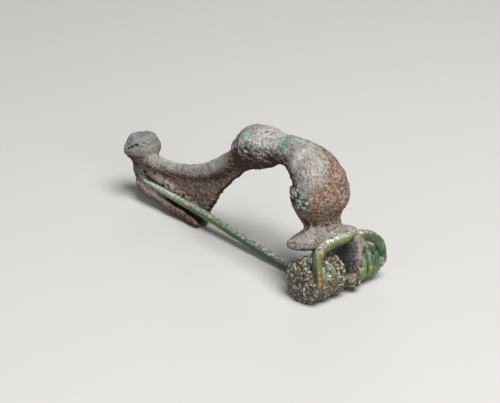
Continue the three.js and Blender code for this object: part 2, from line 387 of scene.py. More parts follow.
def lower_edge(x):
    share = np.clip((EDGE["flat_x"] - x) / (EDGE["flat_x"] - EDGE["front_x"]), 0, 1)
    return EDGE["front_z"] * share ** EDGE["curve"]


def catch_plate(axes):
    x, y, z = spread(axes)
    outline = polygon(x, z, CATCH_OUTLINE)
    sheet = cut(outline, np.abs(y) - CATCH_HALF_Y, 0.3)
    above = z - lower_edge(x)
    aside = y - GUTTER["middle_y"]
    over_wall = np.abs(aside) - GUTTER["half"] + GUTTER["round"]
    over_floor = GUTTER["wall"] + GUTTER["round"] - above
    strip = np.hypot(np.clip(over_wall, 0, None), np.clip(over_floor, 0, None))
    strip = strip + np.minimum(np.maximum(over_wall, over_floor), 0) - GUTTER["round"]
    strip = np.abs(strip) - GUTTER["wall"]
    lip_x, lip_z = zip(*LIP_TOP)
    top = np.where(aside < 0, z - np.interp(x, lip_x, lip_z).astype(np.float32), above - 2)
    ends = np.maximum(GUTTER_ENDS[0] - x, x - GUTTER_ENDS[1])
    strip = cut(cut(strip, top, 0.3), ends, 0.4)
    lump = [(a - c) / h for a, c, h in zip((x, y, z), STOP["centre"], STOP["half"])]
    lump = (np.sqrt(sum(a * a for a in lump)) - 1) * min(STOP["half"])
    whole = join(join(sheet, strip, 0.25), lump, 0.5)
    whole = join(whole, flat_bar(axes, SOIL_FILL, SOIL_FILL_Y), 0.3)
    return join(whole, flat_bar(axes, SOIL_RIDGE, SOIL_RIDGE_Y), 0.3)


print("the gutter is", round(2 * (GUTTER["half"] + GUTTER["wall"]), 2), "mm wide outside")

# %% [markdown]
# ## The casting as one field
#
# All the fields join into one, with a wide fillet where the bars run into each other and a narrow one
# at the plate. Then the field is evened out, so that one unit of it is one millimetre near the surface,
# and the relief that follows is as deep as it says.

# %% The casting
BOW_STEP = 0.12
BOW_LOW, BOW_HIGH = (-23.6, -5.9, -0.5), (22.6, 5.9, 17.9)


def even_out(field, step):
    slope = np.sqrt(sum(g * g for g in np.gradient(field, step)))
    return field / np.clip(slope, 0.4, 2.5)


def casting(axes):
    body = join(flat_bar(axes, HEAD), flat_bar(axes, BOW), 2.2)
    body = join(body, flat_bar(axes, FOOT), 0.8)
    body = join(body, foot_knob(axes), 0.8)
    body = join(body, support_plate(axes), 0.8)
    body = join(body, catch_plate(axes), 0.7)
    hold = join(block(axes, LUG["low"], LUG["high"], LUG["round"]), flat_bar(axes, HOOK), 0.5)
    return join(body, hold, 0.3)


bow_axes = grid(BOW_LOW, BOW_HIGH, BOW_STEP)
bow_field = even_out(casting(bow_axes), BOW_STEP)
print("grid of the casting:", bow_field.shape)

# %% [markdown]
# ## Where the casting changed
#
# Before any relief, the places are named. The lower head is brown and granular below a slanting line,
# the plate of the catch is brown too, and the flank under the bow's knob is badly pitted. A few patches
# are turquoise: smooth ones on the two knobs and behind the second, and a thick crust on the head's
# flank. Each row is a place and a radius, and for lumps, pits and cracks also a height or depth.

# %% Places on the casting
SMOOTH_GREEN = [
    ((-20.1, -1.2, 9.7), 1.3), ((-20.6, 1.0, 9.8), 1.4), ((3.2, -1.6, 16.6), 1.6),
    ((4.6, -0.2, 17.4), 1.0), ((9.8, -0.5, 17.3), 1.5), ((11.3, 0.3, 17.5), 1.0),
]
CRUSTY_GREEN = [((14.4, -3.5, 12.3), 1.3), ((14.6, -3.4, 11.2), 1.2), ((15.7, -3.3, 11.4), 1.0)]
WHITE = [((14.1, -1.0, 16.7), 0.3), ((13.6, -1.3, 16.8), 0.25)]
LUMPS = [
    ((-21.4, -1.9, 7.5), 1.1, 0.28), ((2.8, -0.8, 16.9), 1.9, 0.14), ((14.6, -3.4, 11.5), 1.3, 0.15),
    ((15.4, -3.3, 11.2), 0.9, 0.15), ((-21.2, -0.6, 9.3), 1.1, 0.2), ((-20.6, 1.4, 9.6), 1.0, 0.12),
    ((-17.6, 0.2, 6.9), 0.7, 0.12),
]
PITS = [
    ((14.5, -3.75, 11.2), 0.35, 0.45), ((6.1, -0.6, 17.4), 0.28, 0.35), ((7.0, -0.8, 17.3), 0.22, 0.3),
    ((-18.9, -1.15, 4.65), 0.3, 0.5), ((-18.5, -1.1, 3.95), 0.22, 0.45), ((14.7, -2.5, 8.1), 0.5, 0.3),
    ((15.5, -2.6, 8.3), 0.4, 0.35), ((16.3, -2.3, 8.5), 0.4, 0.35), ((16.8, -2.0, 8.9), 0.3, 0.3),
    ((17.3, -1.0, 8.3), 0.2, 0.3), ((14.9, -2.6, 8.6), 0.5, 0.35), ((15.3, -2.5, 7.7), 0.35, 0.3),
    ((-13.58, -0.63, 7.07), 0.3, 0.12), ((-8.37, -0.97, 7.97), 0.28, 0.12), ((-15.0, -1.0, 4.7), 0.25, 0.4),
    ((-15.0, -1.1, 3.65), 0.25, 0.4), ((-12.6, -1.0, 4.0), 0.28, 0.4),
    ((-10.2, -0.8, 4.1), 0.2, 0.35), ((-10.8, -0.95, 3.35), 0.25, 0.4), ((-17.0, -1.1, 4.9), 0.2, 0.35),
]
CRACKS = [
    ((-20.95, -2.4, 7.9), (-20.2, -2.4, 8.3), 0.1, 0.3),
    ((-20.2, -2.4, 8.3), (-19.55, -2.2, 8.65), 0.11, 0.32),
    ((-19.55, -2.2, 8.65), (-18.95, -1.6, 8.85), 0.1, 0.28),
    ((17.2, -1.3, 8.4), (17.6, -0.9, 7.6), 0.15, 0.25),
    ((-21.0, -1.0, 4.0), (-19.9, -1.6, 3.6), 0.1, 0.3),
]
CRACK_STRETCH_Y = 0.12
FIBRE_ALONG, FIBRE_ACROSS, FIBRE_SLANT = 1.8, 0.3, -0.28


def line_blob(points, start, end, radius):
    start, end = (np.array(p, dtype=np.float32) for p in (start, end))
    run = end - start
    share = np.clip((points - start) @ run / (run @ run), 0, 1)
    away = np.linalg.norm((points - start - share[:, None] * run) * (1, CRACK_STRETCH_Y, 1), axis=1)
    near = away < 4 * radius
    depth = np.zeros(len(points), dtype=np.float32)
    depth[near] = ramp(away[near] + 0.12 * noise(points[near], 0.4, 4), 1.7 * radius, 0.5 * radius)
    return depth


def bow_places(points):
    x, y, z = points.T
    ragged = 0.7 * noise(points, 1.3, 3) + 0.5 * noise(points, 0.5, 1)
    head_line = 17.3 + 1.3 * y + ragged
    head = ramp(z, head_line + 0.4, head_line - 1.4) * ramp(z, 7.6, 9.0) * ramp(x, 11, 12)
    ridge_z = np.interp(x, *zip(*[(a, b) for a, b, _, _ in SOIL_RIDGE])).astype(np.float32)
    on_face = np.maximum(ramp(z, ridge_z + 0.3, ridge_z + 0.9), ramp(x, -14.5, -11.5))
    below_foot = ramp(z - 0.45 * np.clip(x + 8, 0, None), 6.9, 5.6)
    catch = ramp(x, 0.5, -2.5) * below_foot * (0.3 + 0.7 * on_face)
    arch = ramp(z, 14.8, 13.6) * ramp(np.abs(x - 4.5), 7.5, 5)
    neck = 0.25 * ramp(z, 9.6, 8.2) * ramp(x, 11, 12)
    brown = np.maximum(np.maximum(head, neck), np.maximum(0.85 * catch, 0.8 * arch * ramp(x, 14, 12)))
    pitted = ramp(z, 16.6, 15.6) * ramp(y, -0.9, -1.7) * ramp(np.abs(x - 6.5), 6.5, 4.5)
    green = patches(points, SMOOTH_GREEN)
    crusty = patches(points, CRUSTY_GREEN, 0.35)
    return brown, pitted, green, crusty


print(len(PITS), "pits,", len(CRACKS), "cracks and", len(LUMPS), "lumps have a place of their own")

# %% [markdown]
# ## What the ground did to the casting
#
# The relief is worked out only in a thin band around the surface. It is broad unevenness everywhere,
# grains on the crusty stretches, pits that cluster, drawn-out fibres on the catch plate, and the few
# marks that give this brooch its face. A displacement texture could roughen the whole mesh, but it
# can't keep to one place or cut a hole. What is fine and deep is kept apart, because the same places are
# dark with soil.

# %% Relief of the casting
def bow_relief(points):
    x, y, z = points.T
    brown, pitted, green, crusty = bow_places(points)
    plate = ramp(z, 8.2, 7.2) * ramp(x, 11, 12)
    rough = 1 - 0.5 * plate
    dents = 0.09 * noise(points, 2.3, 1) + 0.06 * noise(points, 1.0, 2)
    fine = 0.06 * noise(points, 0.36, 4) + (0.02 + 0.07 * brown + 0.09 * crusty) * grains(points, 0.38, 1)
    bent = points + 0.12 * np.stack([noise(points, 0.35, seed) for seed in (1, 2, 3)], axis=1)
    often = ramp(noise(points, 1.6, 6), -0.1 - 0.6 * pitted - 0.3 * brown, 0.5)
    fine -= often * (0.16 + 0.16 * brown + 0.5 * pitted) * pits(bent, 0.7, 1)
    fine -= often * (0.08 + 0.14 * brown + 0.2 * pitted) * pits(bent, 0.42, 2)
    fine -= pitted * 0.14 * ramp(noise(points * (0.6, 1, 1.4), 0.6, 3), 0.1, 0.6)
    fine += 0.12 * pitted * noise(points, 0.7, 7)
    fibres = ((x + FIBRE_SLANT * z) / FIBRE_ALONG, y, (z - FIBRE_SLANT * x) / FIBRE_ACROSS)
    fine += 0.12 * noise(np.stack(fibres, axis=1), 1.0, 8) * ramp(x, -2, -4) * ramp(z, 7, 6)
    relief = dents * rough
    for seed, (centre, radius, depth) in enumerate(LUMPS):
        relief += depth * blob(points, centre, radius, 0.3, seed)
    for seed, (centre, radius, depth) in enumerate(PITS):
        fine -= depth * blob(points, centre, radius, 0.4, seed)
    for start, end, radius, depth in CRACKS:
        fine -= depth * line_blob(points, start, end, radius)
    return relief + fine * rough, fine * rough


BAND_MM = 0.6


def roughen(field, axes, relief_at):
    band = np.nonzero(np.abs(field) < BAND_MM)
    points = np.stack([axis[i] for axis, i in zip(axes, band)], axis=1)
    relief = np.zeros_like(field)
    fine = np.zeros_like(field)
    relief[band], fine[band] = relief_at(points)
    return field - relief, fine


bow_field, bow_fine = roughen(bow_field, bow_axes, bow_relief)
print("fine relief of the casting from", bow_fine.min().round(2), "to", bow_fine.max().round(2), "mm")

# %% [markdown]
# ## From field to mesh
#
# A volume mesher walks the surface where the field is nothing and lays one small quad per cell. What
# lies below the ground plane is taken off flat first, as wear. Deep pits can leave a bubble inside and
# grains a loose crumb outside, so only the largest connected shell is kept. If there are more triangles
# than the piece should have, the flat stretches are thinned.

# %% Field to mesh
MOST_TRIANGLES = 195000


def main_shell(quads, count):
    shell = np.arange(count)
    settled = False
    while not settled:
        before = shell.copy()
        np.minimum.at(shell, quads.ravel(), np.repeat(shell[quads].min(axis=1), 4))
        shell = shell[shell]
        settled = np.array_equal(before, shell)
    shell_of_quad = shell[quads[:, 0]]
    return quads[shell_of_quad == np.bincount(shell_of_quad).argmax()]


def surface(name, field, axes, step):
    field = np.maximum(field, -axes[2][None, None, :])
    volume = openvdb.FloatGrid(background=1.0)
    volume.copyFromArray(np.clip(field, -1, 1).astype(np.float32))
    points, quads = volume.convertToQuads(isovalue=0.0)
    used, quads = np.unique(main_shell(quads, len(points)), return_inverse=True)
    points, quads = points[used], quads.reshape(-1, 4)
    low = np.array([axis[0] for axis in axes])
    places = (points * step + low + MIDDLE) * MM
    mesh = bpy.data.meshes.new(name)
    mesh.from_pydata(places.tolist(), [], quads.tolist())
    mesh.validate()
    piece = bpy.data.objects.new(name, mesh)
    bpy.context.collection.objects.link(piece)
    triangles = 2 * len(quads)
    if triangles > MOST_TRIANGLES:
        thin(piece, MOST_TRIANGLES / triangles)
    mesh.polygons.foreach_set("use_smooth", [True] * len(mesh.polygons))
    left = sum(len(face.vertices) - 2 for face in mesh.polygons)
    print(name, "has", triangles, "triangles at first and", left, "in the end")
    return piece


def thin(piece, share):
    thinner = piece.modifiers.new("thin", "DECIMATE")
    thinner.ratio = share
    with bpy.context.temp_override(object=piece, active_object=piece):
        bpy.ops.object.modifier_apply(modifier=thinner.name)


def read_vertices(piece, what):
    flat = np.empty(3 * len(piece.data.vertices), dtype=np.float32)
    piece.data.vertices.foreach_get(what, flat)
    return flat.reshape(-1, 3)


def places_of(piece):
    return read_vertices(piece, "co") / MM - MIDDLE


def sample(field, axes, step, points):
    place = (points - [axis[0] for axis in axes]) / step
    cell = np.clip(np.floor(place).astype(int), 0, np.array(field.shape) - 2)
    share = place - cell
    total = np.zeros(len(points), dtype=np.float32)
    for corner in np.ndindex(2, 2, 2):
        weight = np.prod(np.where(corner, share, 1 - share), axis=1)
        i, j, k = (cell + corner).T
        total += weight * field[i, j, k]
    return total


def paint(piece, name, channels):
    colours = np.ones((len(channels[0]), 4), dtype=np.float32)
    for index, channel in enumerate(channels):
        colours[:, index] = channel
    layer = piece.data.color_attributes.new(name, "FLOAT_COLOR", "POINT")
    layer.data.foreach_set("color", colours.ravel())


bow = surface("bow_casting", bow_field, bow_axes, BOW_STEP)

# %% [markdown]
# ## Painting the casting by place
#
# Colour follows place on a corroded casting, so each kind of place becomes a number from 0 to 1 at every
# point of the mesh, and the finish reads it. Hollows hold dark soil, and the open part of the gutter is
# painted dark as shade. Undersides, most of all the arch's, are painted dark reddish brown as shade. The
# hook and the lug under the plate are painted near-black as shade on their near side, where they are tucked
# under the chord. The plate's rim is parted from its top by a ragged groove, and its side is painted darker
# as shade. The foot and the gutter's lip are painted darker than the head.

# %% Painted places of the casting
bow_points = places_of(bow)
bow_x, bow_y, bow_z = bow_points.T
facing = read_vertices(bow, "normal")
brown, pitted, green, crusty = bow_places(bow_points)

on_head = ramp(bow_x, 12.0, 14.0)
in_arch = ramp(np.abs(bow_x - 7.5), 7, 5.5) * ramp(bow_z, 15.6, 14.6)
# Painted shade: faces turned down, and the inside of the arch, are painted dark reddish brown.
shade_under = ramp(-facing[:, 2], 0.05, 0.6) * (1 - 0.9 * on_head)
shade_under = np.maximum(shade_under, in_arch * ramp(facing @ (-0.5, 0, -0.87), -0.2, 0.2))

on_hook = ramp(bow_x, 18.6, 19.2) * ramp(bow_z, 8.4, 7.6)
tucked = np.maximum(on_hook, ramp(bow_z, 5.5, 4.9) * ramp(bow_x, 13, 14))
# Painted shade: the near side of the hook, and of the lug under the plate, is painted near-black.
hook_shade = tucked * ramp(bow_y + 0.35 * noise(bow_points, 0.6, 2), -0.05, -0.75)

plate_share = np.hypot((bow_x - PLATE["x"]) / PLATE["half_x"], bow_y / PLATE["half_y"])
on_plate = ramp(np.abs(bow_z - 6.0), 1.3, 0.9) * ramp(plate_share, 1.2, 1.1)
rim_groove = ramp(np.abs(plate_share - 0.87 + 0.1 * noise(bow_points, 0.9, 3)), 0.045, 0.015)
rim_groove *= on_plate * ramp(noise(bow_points, 0.8, 2), -0.3, 0.1) * ramp(bow_y, -1.5, -2.5)
# Painted shade on the side faces of the plate's rim.
rim_side_shade = on_plate * ramp(plate_share, 0.8, 0.9) * np.maximum(ramp(facing[:, 2], 0.9, 0.6), 0.5)

lip_z = np.interp(bow_x, *zip(*LIP_TOP))
# Painted shade: the inside of the gutter's open part is dark.
gutter_shade = ramp(np.abs(bow_y + 0.9), 0.68, 0.5) * ramp(bow_z, lip_z + 0.1, lip_z - 0.4)
gutter_shade *= ramp(bow_x, -15.6, -14.4) * ramp(bow_x, -6.4, -7)
outside_lip = ramp(bow_y, -1.45, -1.65) * ramp(bow_z, 3, 2)
on_foot = ramp(bow_x, -16.5, -19) * (0.6 + 0.4 * ramp(bow_z, 10.4, 9.0))

hollows_and_gutter_shade = ramp(-sample(bow_fine, bow_axes, BOW_STEP, bow_points), 0.02, 0.25)
hollows_and_gutter_shade = np.maximum(np.maximum(hollows_and_gutter_shade, 0.8 * rim_groove), gutter_shade)
# The foot and the gutter's lip are painted darker, and the side of the plate's rim darker as painted shade.
darker_and_rim_shade = np.maximum(np.maximum(on_foot, 0.85 * outside_lip), rim_side_shade)
# The gutter's lip is painted redder, and undersides redder as part of their painted shade.
reddened_lip_and_shaded_under = np.maximum(shade_under, 0.6 * ramp(bow_y, -1.2, -1.5) * ramp(bow_z, 3.2, 2.4))
print("brown part of the casting:", round(float(brown.mean()), 2), "hollow part:", hollows_and_gutter_shade.mean().round(2))

paint(bow, "marks", [brown, green, crusty])
paint(bow, "tones", [hollows_and_gutter_shade, shade_under, patches(bow_points, WHITE, 0.8)])
paint(bow, "edges", [hook_shade, tucked, pitted])
paint(bow, "wear", [darker_and_rim_shade, reddened_lip_and_shaded_under, rim_side_shade])
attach(bow, "root")
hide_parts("bow")

# %% [markdown]
# ## Wire
#
# The spring and the pin are one wire. The turns are worked out exactly, as a helix around the spring's
# axis. The pin and the chord are chains of short straight pieces with round joints, each with its own
# thickness: the pin thins to its point, and the chord is thickened by its crust. The wire's end lies
# worn and open below the hook. A bevelled curve would leave the crust nothing to grow on.

# %% The wire's numbers
WIRE_R, TURN_R, PITCH, TURNS, INNER_Y = 0.57, 2.15, 1.2, 3.25, 1.63
AXIS_X, AXIS_Z = 18.35, 2.68
PIN = [
    (18.35, -1.63, 0.53, 0.57), (14.5, -1.63, 0.55, 0.57), (10.6, -1.6, 0.75, 0.58),
    (3.0, -1.5, 1.45, 0.58), (-5.0, -1.35, 2.3, 0.56), (-12.0, -1.28, 2.8, 0.5),
    (-16.2, -1.28, 3.1, 0.42), (-19.0, -1.35, 3.35, 0.22),
]
CHORD = [
    (20.5, -5.53, 2.68, 0.57), (20.4, -5.6, 4.6, 0.58), (20.15, -5.4, 6.2, 0.62),
    (20.05, -4.5, 7.2, 0.68), (20.2, -2.6, 7.65, 0.7), (20.5, -0.3, 7.65, 0.68), (20.75, 1.6, 7.4, 0.68),
    (21.0, 3.0, 6.8, 0.66), (21.05, 4.25, 5.7, 0.6), (20.7, 5.15, 4.2, 0.57), (20.5, 5.53, 2.68, 0.57),
]
WIRE_END = [(20.5, 1.93, 2.68, 0.57), (20.45, 0.9, 2.3, 0.62), (20.6, -0.12, 2.2, 0.78)]
END_FACE = {"normal": (0.69, -0.6, 0.4), "at": (20.95, -0.42, 2.4), "reach": 0.95}
SPRING_STEP = 0.085
SPRING_LOW, SPRING_HIGH = (-19.6, -6.7, -0.4), (22.3, 6.5, 8.6)
print("the wire is", 2 * WIRE_R, "mm thick, in two groups of", TURNS, "turns")


# %% Wire fields
def turns(axes, side):
    x, y, z = spread(axes)
    from_axis = np.hypot(x - AXIS_X, z - AXIS_Z) - TURN_R
    begun = (np.arctan2(z - AXIS_Z, x - AXIS_X) / (2 * math.pi) + 0.25) % 1
    best = np.full(np.broadcast(x, y, z).shape, 9, dtype=np.float32)
    for whole in range(int(TURNS) + 1):
        turn = begun + whole
        along = side * y - (INNER_Y + PITCH * turn)
        tube = np.hypot(from_axis, along) - WIRE_R
        best = np.minimum(best, np.where(turn <= TURNS, tube, 9))
    return best


def chain(field, axes, stations, steps=8, reach=1.6):
    points = curve_through(stations, steps)
    low = np.array([axis[0] for axis in axes])
    step = axes[0][1] - axes[0][0]
    for start, end in zip(points, points[1:]):
        a = np.floor((np.minimum(start, end)[:3] - reach - low) / step).astype(int)
        b = np.ceil((np.maximum(start, end)[:3] + reach - low) / step).astype(int)
        box = tuple(slice(max(p, 0), max(q, 0)) for p, q in zip(a, b))
        x, y, z = spread([axis[s] for axis, s in zip(axes, box)])
        run = end[:3] - start[:3]
        share = (x - start[0]) * run[0] + (y - start[1]) * run[1] + (z - start[2]) * run[2]
        share = np.clip(share / (run @ run), 0, 1)
        away = np.sqrt(sum((p - s - share * r) ** 2 for p, s, r in zip((x, y, z), start, run)))
        field[box] = np.minimum(field[box], away - start[3] - share * (end[3] - start[3]))
    return field


def plane(axes, normal, at):
    return sum(n * (a - p) for n, a, p in zip(normal, spread(axes), at))


spring_axes = grid(SPRING_LOW, SPRING_HIGH, SPRING_STEP)
wire = np.minimum(turns(spring_axes, -1), turns(spring_axes, 1))
for run in (PIN, CHORD, WIRE_END):
    wire = chain(wire, spring_axes, run)
before_end = plane(spring_axes, END_FACE["normal"], END_FACE["at"])
wire = np.maximum(wire, -np.maximum(-before_end, ball(spring_axes, END_FACE["at"], END_FACE["reach"])))
print("grid of the wire:", wire.shape)

# %% [markdown]
# ## Crust in the spring
#
# Sand grains and corrosion have set hard in the turns. On the near side the crust covers most of the
# group, leaves only a stripe or two of wire, and bulges out of its end like a small pebble. On the far
# side it sits deeper, and the green turns stand free with dark gaps between them. The lowest front
# corner there is worn away. Loose grains could be scattered, but a set crust is one body with the wire,
# so it is a field too, round the same axis.

# %% Crust
CRUST_NEAR = [
    (1.1, 2.3), (1.4, 2.72), (1.9, 2.85), (2.5, 2.85), (3.1, 2.35), (3.7, 2.76), (4.3, 2.8), (4.9, 2.45),
    (5.5, 2.4), (6.0, 2.5), (6.35, 2.2), (6.62, 1.2),
]
CRUST_FAR = [
    (1.25, 1.9), (2.2, 2.3), (3.1, 2.25), (4.2, 2.35), (4.9, 2.6), (5.4, 2.84), (5.85, 2.6), (6.15, 1.5),
]
CRUST_OVER_BACK = 0.4
WORN_CORNER = {"normal": (0.5, 0.52, -0.69), "at": (19.9, 5.1, 1.3)}
SOIL_BETWEEN = [(19.6, 1.7, 1.5, 1.0), (20.2, 2.0, 1.3, 0.9)]


def crust(axes, side, profile, over_back):
    x, y, z = spread(axes)
    along, radius = zip(*profile)
    from_axis = np.hypot(x - AXIS_X, z - AXIS_Z)
    end = ramp(side * y, 4.6, 5.4)
    allowed = np.interp(side * y, along, radius) + over_back * end * ramp(x, AXIS_X + 1.4, AXIS_X - 0.4)
    allowed = allowed + 0.2 * ramp(y, 1.9, 2.6) * ramp(z, 2.0, 0.8) * ramp(x, AXIS_X, AXIS_X + 1.4)
    ends = np.maximum(along[0] - side * y, side * y - along[-1])
    return np.maximum((from_axis - allowed) * 0.9, ends).astype(np.float32)


worn_away = plane(spring_axes, WORN_CORNER["normal"], WORN_CORNER["at"])
soil = crust(spring_axes, -1, CRUST_NEAR, CRUST_OVER_BACK)
soil = np.minimum(soil, crust(spring_axes, 1, CRUST_FAR, 0))
soil = np.minimum(soil, flat_bar(spring_axes, SOIL_BETWEEN, 0.5))
soil = cut(soil, -ball(spring_axes, END_FACE["at"], 0.9), 0.2)
soil = cut(soil, worn_away, 0.4)
wire = cut(wire, worn_away, 0.4)


def soil_relief(points):
    fine = 0.14 * grains(points, 0.5, 2) + 0.06 * grains(points, 0.3, 3)
    fine -= 0.35 * pits(points + 0.15 * noise(points, 0.5, 1)[:, None], 0.75, 2)
    return 0.05 + fine + 0.12 * noise(points, 1.1, 7), fine


def wire_relief(points):
    fine = 0.03 * noise(points, 0.35, 9) - 0.09 * ramp(noise(points, 0.5, 5), 0.45, 0.9)
    return fine + 0.04 * noise(points, 0.8, 8), fine


soil, soil_fine = roughen(soil, spring_axes, soil_relief)
wire, wire_fine = roughen(wire, spring_axes, wire_relief)
print("relief of the crust from", soil_fine.min().round(2), "to", soil_fine.max().round(2), "mm")
spring = surface("spring_wire", join(wire, soil, 0.12), spring_axes, SPRING_STEP)

# %% [markdown]
# ## Where the wire changed
#
# The pin pales towards its point, and a bright line of bare copper runs along its lower edge where it left
# the gutter. The chord is whitish on top, as dust and as a painted highlight on faces turned up. Copper
# also shows where the turns were rubbed, and around the wire's open end. Between the turns, and on the
# outer and lower side of the near rim turn, the wire is painted nearly black as shade. The innermost near
# turn stays green through the crust.

# %% Places on the wire
WORN = [
    ((20.6, -5.05, 7.1), 0.28), ((21.0, -5.9, 4.1), 0.3), ((21.0, -5.9, 4.9), 0.25),
    ((21.0, -5.8, 3.3), 0.3), ((21.1, 1.6, 3.0), 0.24), ((21.1, 3.0, 2.6), 0.26), ((20.9, 0.9, 2.6), 0.3),
    ((20.9, 0.8, 2.1), 0.3), ((20.9, -3.0, 1.6), 0.25),
]
OPEN_END = END_FACE["at"]
BARE_LINE_X = (-14.5, -3.0)


def pin_edge(points):
    pin_x, pin_y, pin_z, _ = zip(*PIN[::-1])
    aside = points[:, 1] - np.interp(points[:, 0], pin_x, pin_y)
    above = points[:, 2] - np.interp(points[:, 0], pin_x, pin_z)
    around = -0.75 * above - 0.66 * aside + 0.08 * noise(points, 0.7, 2)
    start, end = BARE_LINE_X
    within = ramp(points[:, 0], start - 1, start) * ramp(points[:, 0], end + 2, end)
    return ramp(around, 0.4, 0.48) * within


spring_points = places_of(spring)
wire_x, wire_y, wire_z = spring_points.T
spring_normals = read_vertices(spring, "normal")

soiled = ramp(sample(wire - soil, spring_axes, SPRING_STEP, spring_points), -0.05, 0.05)
inner_turn = ramp(np.abs(wire_y + 1.45 + 0.1 * noise(spring_points, 0.9, 4)), 0.4, 0.25)
soiled *= 1 - inner_turn * ramp(noise(spring_points, 0.7, 5), -0.7, -0.3)
worn = np.maximum(patches(spring_points, WORN, 0.6), pin_edge(spring_points)) * (1 - soiled)
toward_tip = np.clip((15 - wire_x) / 34, 0, 1)
# Dust and painted highlight: faces turned up are painted paler.
dust_and_highlight = ramp(spring_normals[:, 2], 0.3, 0.95)
far = ramp(wire_y, 0.5, 2.5) * ramp(wire_z, 6.6, 5.6)
fine_here = np.where(
    soiled > 0.5,
    sample(soil_fine, spring_axes, SPRING_STEP, spring_points),
    sample(wire_fine, spring_axes, SPRING_STEP, spring_points),
)

from_axis = np.hypot(wire_x - AXIS_X, wire_z - AXIS_Z)
# Painted shade between the turns, on the outer and lower side of the near rim turn, and on the far turns'
# top.
turn_shade = ramp(from_axis, TURN_R + 0.48, TURN_R + 0.24) * ramp(np.abs(from_axis - TURN_R), 0.9, 0.6)
turn_shade *= (1 - soiled) * ramp(np.abs(wire_y), 1.3, 1.6) * ramp(wire_x, 16, 17)
rim_turn = (1 - soiled) * ramp(wire_y, -4.9, -5.1) * ramp(wire_x, 19, 19.6) * ramp(wire_z, 6.6, 5.4)
outer_side = ramp(spring_normals @ (-0.66, -0.75, 0), -0.3, 0.2)
turn_shade = np.maximum(turn_shade, 0.9 * rim_turn * np.maximum(outer_side, ramp(wire_z, 2.6, 1.4)))
turn_shade = np.maximum(turn_shade, 0.35 * ramp(wire_y, 0.5, 2) * ramp(wire_z, 5.5, 6.2))
end_face = blob(spring_points, OPEN_END, 0.48, 0.3)
end_ring = blob(spring_points, OPEN_END, 0.8, 0.4)
print("crusted part of the spring:", soiled.mean().round(2), "worn part:", worn.mean().round(3))

paint(spring, "marks", [soiled, worn, toward_tip])
paint(spring, "tones", [ramp(-fine_here, 0.0, 0.14), dust_and_highlight, far])
paint(spring, "ends", [end_face, end_ring, turn_shade])
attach(spring, "root")
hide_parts("spring_and_pin")

# %% [markdown]
# ## Materials
#
# Patina is a skin of minerals, so neither finish shines like metal. A picture laid on the mesh would
# bring its own light and shadow with it, so each finish is mixed instead: from a few colours, by noise,
# by cells that stand for grains of sand, and by the places painted on the mesh.

# %% Material helpers
class Finish:
    def __init__(self, name):
        self.material = bpy.data.materials.new(name)
        self.material.use_nodes = True
        self.nodes = self.material.node_tree.nodes
        self.links = self.material.node_tree.links
        self.shader = self.nodes["Principled BSDF"]
        self.place = self.nodes.new("ShaderNodeTexCoord").outputs["Object"]

    def noise(self, size_mm, detail=4.0, rough=0.6):
        made = self.nodes.new("ShaderNodeTexNoise")
        made.inputs["Scale"].default_value = 1 / (size_mm * MM)
        made.inputs["Detail"].default_value = detail
        made.inputs["Roughness"].default_value = rough
        self.links.new(self.place, made.inputs["Vector"])
        return made.outputs["Fac"]

    def cells(self, size_mm):
        made = self.nodes.new("ShaderNodeTexVoronoi")
        made.inputs["Scale"].default_value = 1 / (size_mm * MM)
        self.links.new(self.place, made.inputs["Vector"])
        split = self.nodes.new("ShaderNodeSeparateColor")
        self.links.new(made.outputs["Color"], split.inputs["Color"])
        return made.outputs["Distance"], split.outputs["Red"]

    def painted(self, name):
        layer = self.nodes.new("ShaderNodeAttribute")
        layer.attribute_name = name
        split = self.nodes.new("ShaderNodeSeparateColor")
        self.links.new(layer.outputs["Color"], split.inputs["Color"])
        return split.outputs[:3]

    def between(self, value, low, high):
        made = self.nodes.new("ShaderNodeMapRange")
        made.interpolation_type = "SMOOTHSTEP"
        made.inputs["From Min"].default_value = low
        made.inputs["From Max"].default_value = high
        self.links.new(value, made.inputs["Value"])
        return made.outputs["Result"]

    def calc(self, how, a, b):
        made = self.nodes.new("ShaderNodeMath")
        made.operation = how
        for socket, value in zip(made.inputs, (a, b)):
            if isinstance(value, (int, float)):
                socket.default_value = value
            else:
                self.links.new(value, socket)
        return made.outputs["Value"]

    def mix(self, share, a, b, how="MIX"):
        made = self.nodes.new("ShaderNodeMix")
        made.data_type = "RGBA"
        made.blend_type = how
        if isinstance(share, (int, float)):
            made.inputs["Factor"].default_value = share
        else:
            self.links.new(share, made.inputs["Factor"])
        for socket, colour in ((made.inputs[6], a), (made.inputs[7], b)):
            if isinstance(colour, tuple):
                socket.default_value = (*colour, 1)
            else:
                self.links.new(colour, socket)
        return made.outputs[2]

    def steps(self, value, colours):
        made = self.nodes.new("ShaderNodeValToRGB")
        elements = made.color_ramp.elements
        while len(elements) < len(colours):
            elements.new(0.5)
        for element, (position, colour) in zip(elements, colours):
            element.position = position
            element.color = (*colour, 1)
        self.links.new(value, made.inputs["Fac"])
        return made.outputs["Color"]

    def bump(self, height, depth_mm, strength=1.0):
        made = self.nodes.new("ShaderNodeBump")
        made.inputs["Distance"].default_value = depth_mm * MM
        made.inputs["Strength"].default_value = strength
        self.links.new(height, made.inputs["Height"])
        self.links.new(made.outputs["Normal"], self.shader.inputs["Normal"])


print("a finish knows", ", ".join(name for name in vars(Finish) if not name.startswith("_")))
